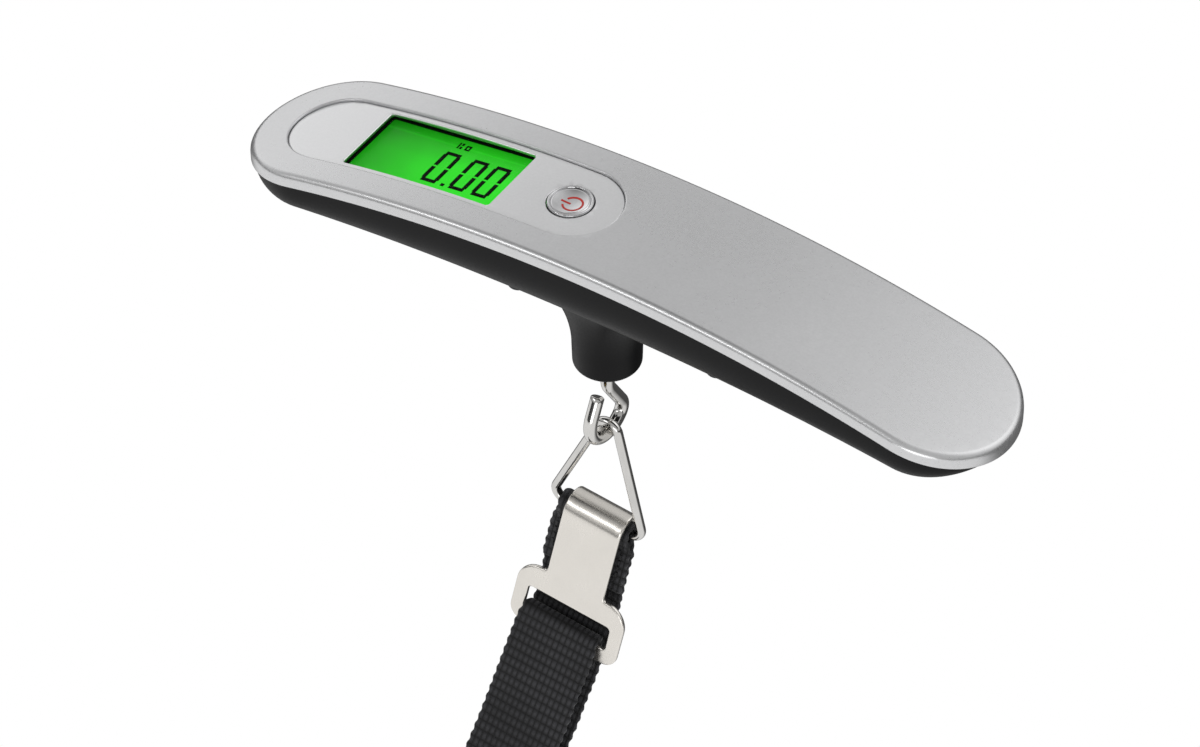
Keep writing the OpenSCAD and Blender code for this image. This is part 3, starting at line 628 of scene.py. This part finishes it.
cuts_v += [door((px * DOOR_HALF_L, py * DOOR_HALF_W, pz)) for pz in (-5.0, 2.3) for px, py in door_corners]
cuts_f += [(base + 3, base + 2, base + 1, base), (base + 4, base + 5, base + 6, base + 7)]
cuts_f += [(base + k, base + (k + 1) % 4, base + 4 + (k + 1) % 4, base + 4 + k) for k in range(4)]
cut_me = bpy.data.meshes.new("cuts")
cut_me.from_pydata([tuple(c * MM for c in v) for v in cuts_v], [], cuts_f)
cut_ob = bpy.data.objects.new("cuts", cut_me)
bpy.context.scene.collection.objects.link(cut_ob)
mod = shell.modifiers.new("cuts", "BOOLEAN")
mod.operation, mod.solver, mod.object = "DIFFERENCE", "EXACT", cut_ob
solid = bpy.data.meshes.new_from_object(shell.evaluated_get(bpy.context.evaluated_depsgraph_get()))
shell.modifiers.clear()
shell.data = solid
bpy.data.objects.remove(cut_ob)
mod = shell.modifiers.new("weighted", "WEIGHTED_NORMAL")
mod.weight = 60
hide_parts("lower_housing")

# The neck is round at its foot and widens along the body as it meets the belly.
sweep = 22.0
SWEEP_LOW = -33.2
sweep_out = lambda z: sweep - math.sqrt(sweep ** 2 - (z - SWEEP_LOW) ** 2)
rows = [(z, 7.05, sweep_out(z)) for z in np.linspace(-16.0, SWEEP_LOW, 30)]
rows += [(-35.5, 7.0, 0), (NECK_LOW + 1.0, 6.95, 0)]
rows += [(NECK_LOW + 1.0 - math.sin(t), 5.95 + math.cos(t), 0) for t in np.linspace(0.15, math.pi / 2, 8)]
rows += [(NECK_LOW, 2.2, 0), (NECK_LOW + 0.2, 1.9, 0), (NECK_LOW + 2.5, 1.9, 0)]
verts, faces, SIDES = [], [], 96
for z, r, out in rows:
    for k in range(SIDES):
        a = 2 * math.pi * k / SIDES
        rr = r + out * (1 - 0.55 * math.sin(a) ** 2)
        verts.append((NECK_X + rr * math.cos(a), rr * math.sin(a), z))
for i in range(len(rows) - 1):
    a, b = i * SIDES, (i + 1) * SIDES
    faces += [(a + k, a + (k + 1) % SIDES, b + (k + 1) % SIDES, b + k) for k in range(SIDES)]
faces += [tuple(range(SIDES)), tuple((len(rows) - 1) * SIDES + k for k in range(SIDES))]
make("housing_neck", verts, faces, "housing", SLOTS["black_plastic"], weighted=True)

# ---------------------------------------------------------------- button

dish = [(r, 12.1 - math.sqrt(169 - r * r)) for r in np.linspace(0, 3.8, 12)]
groove = [(3.84, -0.8), (4.0, -0.8)]
rim = [(4.03, -0.28), (4.1, -0.2), (4.28, -0.17), (4.42, -0.2), (4.52, -0.3), (4.57, -0.5)]
skirt = [(4.58, -0.7), (4.58, -1.3), (5.4, -1.35), (5.4, -1.95), (4.7, -1.98)]
cap = lathe("button_cap", dish + groove + rim + skirt,
            on_arch(BUTTON_X), "button", SLOTS["chrome"])
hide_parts("power_button")

# ---------------------------------------------------------------- hook, ring, clip and strap

H1, R1, S1, R2, H2, R3, H3, R4, H4, TIP = 32, 4, 8, 2.6, -50, 6.6, -150, 5, -208, 4.7
SHANK_TOP, STRAIGHT = -4.7, -44.0
SEAT_Y = R1 * (1 - cosd(H1)) + S1 * sind(H1) - R2 * cosd(H1) + R2 * cosd(H2) - R3 * cosd(H2)
SEAT_Z = STRAIGHT - R1 * sind(H1) - S1 * cosd(H1) - R2 * sind(H1) + R2 * sind(H2) - R3 * sind(H2) - R3


def turn_y(v, t):
    x, y, z = v
    return (x * cosd(t) + z * sind(t), y, -x * sind(t) + z * cosd(t))


def turn_x(v, t):
    x, y, z = v
    return (x, y * cosd(t) - z * sind(t), y * sind(t) + z * cosd(t))


def bar(v):
    x, y, z = turn_y((v[0], v[1], v[2] - RING_DROP), HANG_TILT)
    return (x + NECK_X, y + SEAT_Y, z + SEAT_Z)


def hang(v):
    return bar(turn_x(v, -LEAN))


pts, heads, _ = turtle([(SHANK_TOP - STRAIGHT, H1, R1), (S1, H2 - H1, R2), (0.04, H3 - H2, R3),
                        (0.04, H4 - H3, R4), (TIP, 0, 0)])
hook = tube("bent_hook", pts, heads, HOOK_WIRE, lambda v: (v[0] + NECK_X, v[1], v[2] + SHANK_TOP),
            False, "swivel_hook", SLOTS["nickel_wire"])
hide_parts("hook")

apex_r = (HOOK_WIRE + RING_WIRE) / 2 + 0.05
corner_r = 2.4
bend = 90 + RING_HALF
cut = corner_r * math.tan(math.radians(bend / 2))
half = apex_r / cosd(RING_HALF) + RING_DROP * math.tan(math.radians(RING_HALF)) - cut
leg = (RING_DROP + apex_r * sind(RING_HALF)) / cosd(RING_HALF) - cut
pts, heads, _ = turtle([(half, bend, corner_r), (leg, 180 - 2 * RING_HALF, apex_r),
                        (leg, bend, corner_r), (half, 0, 0)])
ring = tube("triangle_ring", pts[:-1], heads[:-1], RING_WIRE, lambda v: bar((-v[2], -v[0], v[1])),
            True, "ring", SLOTS["nickel_wire"], sides=32)
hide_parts("strap_ring")

mid_r = FOLD_R + CLIP_T / 2
foot = SLOT_TOP - SLOT_H - CLIP_BAR
top = SLOT_TOP + SHOULDER
s_end = math.pi * mid_r + 2


def clip_place(x, s, h):
    if s <= 0:
        y, z, ny, nz = -mid_r, s, -1, 0
    elif s <= math.pi * mid_r:
        a = s / mid_r
        ny, nz = -math.cos(a), math.sin(a)
        y, z = mid_r * ny, mid_r * nz
    else:
        y, z, ny, nz = mid_r, -(s - math.pi * mid_r), 1, 0
    return hang((x + CLIP_SHIFT, y + ny * h, z + nz * h))


n2, w2 = CLIP_NECK / 2, CLIP_W / 2
outline = rounded([(-w2, foot, 3), (w2, foot, 3), (w2, top, 5), (n2, top, 0.9), (n2, s_end, 0.6),
                   (-n2, s_end, 0.6), (-n2, top, 0.9), (-w2, top, 5)], 12, 0.8)
slot_hole = rounded([(-SLOT_W / 2, SLOT_TOP - SLOT_H, 0.7), (-SLOT_W / 2, SLOT_TOP, 0.9),
                     (SLOT_W / 2, SLOT_TOP, 0.9), (SLOT_W / 2, SLOT_TOP - SLOT_H, 0.7)], 8, 0.8)
ht = CLIP_T / 2
rim = round_edge(0.4, ht, 5)
rim = rim + [(i, -h) for i, h in rim[::-1]]
clip = plate("plate_clip", [outline, slot_hole], [rim, rim], (0.9, 0.9), clip_place, "clip",
             SLOTS["nickel_plate"])
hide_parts("strap_clip")

# The strap's route, as in the CAD source, in the clip's frame.
wrap_r = RING_WIRE / 2 + 0.325 + STRAP_T / 2
fold_in = 25
layer_y = (STRAP_T + 0.05) / 2
bar_r = CLIP_T / 2 + 0.3 + STRAP_T / 2
rel = FRONT_LEAN - LEAN
pinch = (wrap_r * cosd(fold_in) - wrap_r * (1 - cosd(fold_in)) - layer_y) / sind(fold_in)
join_z = -(2 * wrap_r * sind(fold_in) + pinch * cosd(fold_in))
reach_y = -mid_r - bar_r * cosd(rel)
reach_z = SLOT_TOP - SLOT_H + bar_r * sind(rel)
low, REAR, OPEN = rel + CURVE, -8.0, -4.0


def go(run, lean):
    return np.array([-run * sind(lean), -run * cosd(lean)])


def turn_front(r, a, b):
    return r * np.array([cosd(b) - cosd(a), sind(a) - sind(b)])


# The back run leaves the sewn layers to the rear, follows the front run down and opens into the
# loop; two straight runs close the route.
SEWN_RUN, REAR_R, REAR_RUN, NEAR_R, NEAR_RUN = 11, 12, 5, 10, 17
CURVE_R, BETWEEN, FOLLOW_RUN, OPEN_R, FRONT_TOP = 100, 6.5, 5, 25, 20
known = (np.array([layer_y, join_z])
         + go(SEWN_RUN, 0) - turn_front(REAR_R, 0, REAR)
         + go(REAR_RUN, REAR) + turn_front(NEAR_R, REAR, rel)
         + go(NEAR_RUN, rel) + turn_front(CURVE_R - BETWEEN, rel, low)
         + go(FOLLOW_RUN, low) - turn_front(OPEN_R, low, OPEN)
         + turn_front(LOOP_R, OPEN, 180 + low) - turn_front(CURVE_R, 180 + low, 180 + rel)
         + go(FRONT_TOP, 180 + rel))
short_y, short_z = reach_y - known[0], reach_z - known[1]
back_low = (short_y * cosd(low) - short_z * sind(low)) / sind(low - OPEN)
front_low = (short_y * cosd(OPEN) - short_z * sind(OPEN)) / sind(low - OPEN)
TAIL, END_RUN, PASS, TUCK = 10.5, 11, CLIP_BAR + 0.1, 50
tuck_run = (bar_r * cosd(rel) + PASS * sind(rel) + bar_r * (cosd(TUCK - rel) - cosd(rel))
            - bar_r * (1 - cosd(TUCK - rel)) + bar_r - 2 * layer_y) / sind(TUCK - rel)
route = [(TAIL, fold_in, wrap_r), (pinch, -180 - 2 * fold_in, wrap_r), (pinch, fold_in, wrap_r),
         (SEWN_RUN, -REAR, REAR_R), (REAR_RUN, REAR - rel, NEAR_R),
         (NEAR_RUN, -CURVE, CURVE_R - BETWEEN), (FOLLOW_RUN, low - OPEN, OPEN_R),
         (back_low, OPEN - 180 - low, LOOP_R), (front_low, CURVE, CURVE_R),
         (FRONT_TOP, -180 + rel, bar_r), (PASS, -TUCK, bar_r),
         (tuck_run, TUCK - rel, bar_r), (END_RUN, 0, 0)]
pts, heads, tags = turtle(route, 0.45)
lengths = np.concatenate([[0], np.cumsum(np.linalg.norm(np.diff(pts, axis=0), axis=1))])
total = lengths[-1]

# The webbing is drawn in at the ring and in the clip's slot. Tags count the route's runs and bends.
RING_PINCH_W, SLOT_PINCH_W = 17.2, 18.2
raw_w = np.array([RING_PINCH_W if 2 <= t <= 4 else STRAP_W if t <= 18 else SLOT_PINCH_W for t in tags])
at = np.arange(0, total, 0.5)
at = np.append(at, total)
width = np.array([np.interp(np.linspace(a - 1.6, a + 1.6, 9), lengths, raw_w).mean() for a in at])
py, pz = np.interp(at, lengths, pts[:, 0]), np.interp(at, lengths, pts[:, 1])
ph = np.interp(at, lengths, heads)
ACROSS, SIDE = 28, 5
PICK, SCALLOP, SELVEDGE = 2.3, 0.16, 0.45


def webbing_section(w, a):
    """Points around the webbing at length a, as (across, through), with a wavy selvedge."""
    half = w / 2 - 0.18
    right = half + SCALLOP * math.sin(2 * math.pi * a / PICK) + 0.05 * math.sin(2 * math.pi * a / 11.0)
    left = half - SCALLOP * math.sin(2 * math.pi * (a / PICK + 0.2))
    th = STRAP_T / 2 - 0.03
    flat = right + left - 2 * SELVEDGE
    turns = [math.pi * k / SIDE for k in range(1, SIDE)]
    sec = [(-(left - SELVEDGE) + k / ACROSS * flat, th) for k in range(ACROSS + 1)]
    sec += [(right - SELVEDGE + SELVEDGE * math.sin(t), th * math.cos(t)) for t in turns]
    sec += [(right - SELVEDGE - k / ACROSS * flat, -th) for k in range(ACROSS + 1)]
    sec += [(-(left - SELVEDGE) - SELVEDGE * math.sin(t), -th * math.cos(t)) for t in turns]
    return sec


verts, faces, uvs = [], [], []
for a, w, y, z, h in zip(at, width, py, pz, ph):
    nrm = (-sind(h), cosd(h))
    sec = webbing_section(w, a)
    for v, t in sec:
        p = (v, -(y + nrm[0] * t) - layer_y, -(z + nrm[1] * t) + join_z - TAIL)
        verts.append(hang(p))
        uvs.append((a, v + 40))
n_ring = len(sec)
for i in range(len(at) - 1):
    a, b = i * n_ring, (i + 1) * n_ring
    faces += [(a + k, b + k, b + (k + 1) % n_ring, a + (k + 1) % n_ring) for k in range(n_ring)]
faces += [tuple(range(n_ring)), tuple((len(at) - 1) * n_ring + k for k in range(n_ring))]
strap = make("webbing_strap", verts, faces, "loop", SLOTS["webbing"], uvs=uvs)
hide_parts("strap")

# ---------------------------------------------------------------- studio and camera

world = bpy.data.worlds.new("studio")
bpy.context.scene.world = world
world.use_nodes = True
nt = world.node_tree
nt.nodes.clear()


def node(kind, **props):
    n = nt.nodes.new(kind)
    for k, v in props.items():
        setattr(n, k, v)
    return n


def wmath(op, a, b=0.0, clamp=False):
    n = node("ShaderNodeMath", operation=op, use_clamp=clamp)
    for s, v in zip(n.inputs, (a, b)):
        if isinstance(v, bpy.types.NodeSocket):
            nt.links.new(v, s)
        else:
            s.default_value = v
    return n.outputs[0]


direction = node("ShaderNodeTexCoord").outputs["Generated"]
sep = node("ShaderNodeSeparateXYZ")
nt.links.new(direction, sep.inputs[0])
level = wmath("ADD", 0.60, 0.0)
LOBES = (((-0.85, 0.50, 0.15), 9, 1.0),
         ((0.45, 0.55, 0.70), 9, 1.2),
         ((-0.30, -0.05, 0.95), 16, -0.5))
for d, power, gain in LOBES:
    dot = node("ShaderNodeVectorMath", operation="DOT_PRODUCT")
    nt.links.new(direction, dot.inputs[0])
    dot.inputs[1].default_value = Vector(d).normalized()
    lobe = wmath("POWER", wmath("MAXIMUM", dot.outputs["Value"], 0.0), power)
    level = wmath("ADD", level, wmath("MULTIPLY", lobe, gain))
band = wmath("LESS_THAN", wmath("ABSOLUTE", wmath("SUBTRACT", sep.outputs[2], 0.08)), 0.09)
level = wmath("MULTIPLY", level, wmath("SUBTRACT", 1.0, wmath("MULTIPLY", band, 0.92)))
camera_ray = node("ShaderNodeLightPath").outputs["Is Camera Ray"]
level = wmath("ADD", wmath("MULTIPLY", level, wmath("SUBTRACT", 1.0, camera_ray)), camera_ray)
bg = node("ShaderNodeBackground")
nt.links.new(level, bg.inputs["Strength"])
wout = node("ShaderNodeOutputWorld")
nt.links.new(bg.outputs[0], wout.inputs[0])

me = bpy.data.meshes.new("floor")
z = cad_lo.z - 0.012
me.from_pydata([(-6, -6, z), (6, -6, z), (6, 6, z), (-6, 6, z)], [], [(0, 1, 2, 3)])
floor = bpy.data.objects.new("floor", me)
bpy.context.scene.collection.objects.link(floor)
fm = bpy.data.materials.new("pale_floor")
fm.use_nodes = True
ft = fm.node_tree
ft.nodes.clear()
fo = ft.nodes.new("ShaderNodeOutputMaterial")
em = ft.nodes.new("ShaderNodeEmission")
lp = ft.nodes.new("ShaderNodeLightPath")
place = ft.nodes.new("ShaderNodeNewGeometry")
split = ft.nodes.new("ShaderNodeSeparateXYZ")
ft.links.new(place.outputs["Position"], split.inputs[0])
depth = ft.nodes.new("ShaderNodeMapRange")
for k, v in (("From Min", 0.0), ("From Max", 0.12), ("To Min", 0.85), ("To Max", 0.08)):
    depth.inputs[k].default_value = v
ft.links.new(split.outputs[1], depth.inputs["Value"])
gain = ft.nodes.new("ShaderNodeMapRange")
gain.inputs["To Max"].default_value = 1.0
ft.links.new(depth.outputs[0], gain.inputs["To Min"])
ft.links.new(lp.outputs["Is Camera Ray"], gain.inputs["Value"])
ft.links.new(gain.outputs[0], em.inputs["Strength"])
tr = ft.nodes.new("ShaderNodeBsdfTransparent")
mx = ft.nodes.new("ShaderNodeMixShader")
geo = ft.nodes.new("ShaderNodeNewGeometry")
ft.links.new(geo.outputs["Backfacing"], mx.inputs[0])
ft.links.new(em.outputs[0], mx.inputs[1])
ft.links.new(tr.outputs[0], mx.inputs[2])
ft.links.new(mx.outputs[0], fo.inputs[0])
me.materials.append(fm)


def softbox(name, place, target, size, watts):
    data = bpy.data.lights.new(name, "AREA")
    data.shape = "RECTANGLE"
    data.size, data.size_y = size
    data.energy = watts
    ob = bpy.data.objects.new(name, data)
    bpy.context.scene.collection.objects.link(ob)
    ob.location = place
    ob.rotation_euler = (Vector(target) - Vector(place)).to_track_quat("-Z", "Y").to_euler()
    return ob


softbox("edge_box", (-0.40, -0.72, 0.60), (0, 0, -0.02), (0.7, 0.18), 1.1)
softbox("front_box", (0.45, -0.9, 0.05), (0, 0, -0.06), (0.6, 0.3), 1.5)

scene = bpy.context.scene
scene.view_settings.view_transform = "Standard"
az, el, roll = (math.radians(v) for v in (33.23, 43.54, -0.48))
d = Vector((math.sin(az) * math.cos(el), -math.cos(az) * math.cos(el), math.sin(el)))
right = Vector((math.cos(az), math.sin(az), 0))
up = d.cross(right)
r2 = right * math.cos(roll) + up * math.sin(roll)
u2 = -right * math.sin(roll) + up * math.cos(roll)
cam_data = bpy.data.cameras.new("camera")
cam_data.lens = 141.15
cam_data.sensor_width = 36
cam_data.clip_end = 20
cam = bpy.data.objects.new("camera", cam_data)
scene.collection.objects.link(cam)
m = Matrix((r2, u2, d)).transposed().to_4x4()
m.translation = Vector((362.3, -562.3, 595.9)) * MM
cam.matrix_world = m
scene.camera = cam
